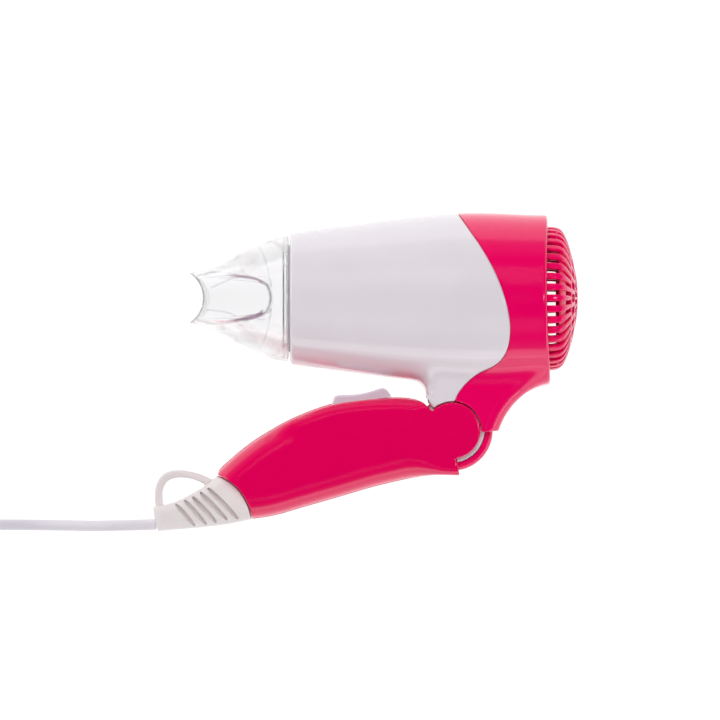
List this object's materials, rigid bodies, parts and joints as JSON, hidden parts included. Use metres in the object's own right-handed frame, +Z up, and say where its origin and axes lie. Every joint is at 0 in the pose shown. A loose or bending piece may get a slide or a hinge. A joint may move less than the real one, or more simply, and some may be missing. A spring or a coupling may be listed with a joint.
{
  "type": "hair dryer",
  "caption": "Folding travel hair dryer lying on its side, handle folded under the barrel, clear concentrator nozzle, slide switch, hanging loop and coiled mains cord with plug.",
  "frame": {"origin": "on the resting surface, under the centre of the dryer's own box without its free cord and plug", "axes": "+X along the barrel from the nozzle to the air inlet, +Y from the folded handle to the top of the barrel, +Z up from the surface, parallel to the handle's hinge axis"},
  "size_m": [0.363, 0.1466, 0.0786],
  "materials": {
    "white_shell": "glossy moulded ABS, white",
    "pink_shell": "glossy moulded ABS, magenta pink",
    "pink_handle": "glossy moulded ABS, magenta pink",
    "clear_nozzle": "clear polycarbonate",
    "grey_collar": "satin heat-resistant plastic",
    "knob_white": "glossy moulded plastic",
    "relief_pvc": "soft moulded PVC, cream",
    "cord_pvc": "PVC cord sheath, pale lilac white",
    "plug_pvc": "moulded PVC",
    "pin_metal": "nickel-plated brass",
    "tie_black": "moulded tie",
    "dark_plastic": "heat-resistant plastic",
    "duct_plastic": "glass-filled nylon",
    "fan_plastic": "moulded nylon",
    "mica": "mica sheet",
    "heater_wire": "nichrome",
    "steel": "zinc-plated steel",
    "magnet": "ferrite",
    "copper": "enamelled copper winding on steel laminations",
    "pcb": "laminate board",
    "wire_pvc": "PVC insulation",
    "white_nylon": "moulded nylon"
  },
  "bodies": {
    "barrel": {"barrel_shell": "white_shell", "rear_shell": "pink_shell", "inlet_grille": "pink_shell", "outlet_guard": "dark_plastic", "mica_liner": "mica", "mica_board_vertical": "mica", "mica_board_horizontal": "mica", "heater_coil": "heater_wire", "thermostat": "dark_plastic", "thermal_fuse": "steel", "fan_duct": "duct_plastic", "motor_can": "steel", "motor_magnets": "magnet", "motor_end_cap": "white_nylon", "rectifier_board": "pcb", "barrel_wires": "wire_pvc", "housing_screws": "steel"},
    "fan": {"fan_impeller": "fan_plastic", "motor_shaft": "steel", "armature": "copper"},
    "collar": {"outlet_collar": "grey_collar"},
    "nozzle": {"nozzle": "clear_nozzle"},
    "handle": {"handle_shell": "pink_handle", "handle_cover": "pink_handle", "hinge_pin": "steel", "detent_spring": "steel", "handle_screws": "steel", "switch_body": "dark_plastic", "cord_clamp": "white_nylon", "cord_inner": "cord_pvc", "handle_wires": "wire_pvc", "strain_relief": "relief_pvc", "cord_lead": "cord_pvc", "cord_coil": "cord_pvc", "cord_tie": "tie_black", "cord_tail": "cord_pvc", "plug_body": "plug_pvc", "plug_pins": "pin_metal"},
    "switch": {"switch_knob": "knob_white"}
  },
  "joints": [
    {"name": "handle_hinge", "type": "hinge", "parent": "barrel", "child": "handle", "pos_m": [0.0397, -0.0266, 0.0393], "axis": [0, 0, 1], "range_deg": [0, 78]},
    {"name": "switch_slide", "type": "slide", "parent": "handle", "child": "switch", "axis": [0.9898, 0.1426, 0], "range_m": [0, 0.008]},
    {"name": "fan_spin", "type": "hinge", "parent": "barrel", "child": "fan", "pos_m": [0.06, 0.0339, 0.0393], "axis": [1, 0, 0], "continuous": true},
    {"name": "collar_turn", "type": "hinge", "parent": "barrel", "child": "collar", "pos_m": [-0.038, 0.0339, 0.0393], "axis": [1, 0, 0], "continuous": true},
    {"name": "nozzle_pull", "type": "slide", "parent": "collar", "child": "nozzle", "axis": [-1, 0, 0], "range_m": [0, 0.03]}
  ]
}
